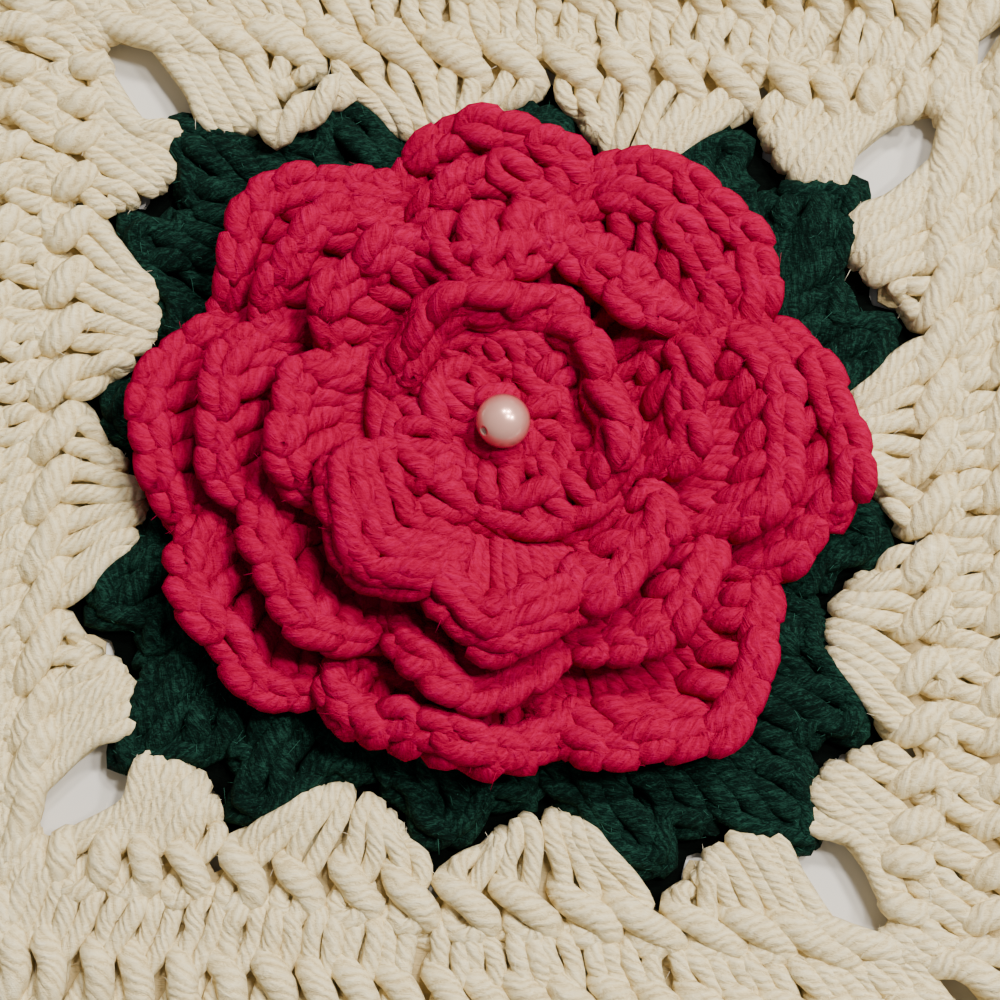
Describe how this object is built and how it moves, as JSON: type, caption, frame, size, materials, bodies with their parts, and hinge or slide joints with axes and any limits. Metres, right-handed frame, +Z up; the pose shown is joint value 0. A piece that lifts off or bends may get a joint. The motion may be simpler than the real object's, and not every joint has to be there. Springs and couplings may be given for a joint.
{
  "type": "granny square",
  "caption": "Flat crocheted blanket square: a raised layered rose with a pearl bead on a round of pointed leaves, framed by a square border with a notched inner edge and corner holes.",
  "frame": {"origin": "centre of the square's underside, on the surface it lies on", "axes": "+Z up out of the cloth's face; the square's sides run along X and Y, and +Y is the top of the picture"},
  "size_m": [0.159, 0.159, 0.0248],
  "materials": {
    "cream_yarn": "matt acrylic yarn with a short fuzz",
    "green_yarn": "matt acrylic yarn with a short fuzz",
    "red_yarn": "matt acrylic yarn with a short fuzz",
    "pearl": "pearly gloss"
  },
  "bodies": {
    "root": {"cream_border": "cream_yarn", "leaf_round": "green_yarn", "rose_outer_petals": "red_yarn", "rose_middle_petals": "red_yarn", "rose_inner_petals": "red_yarn", "rose_heart": "red_yarn", "pearl_bead": "pearl"}
  },
  "joints": []
}
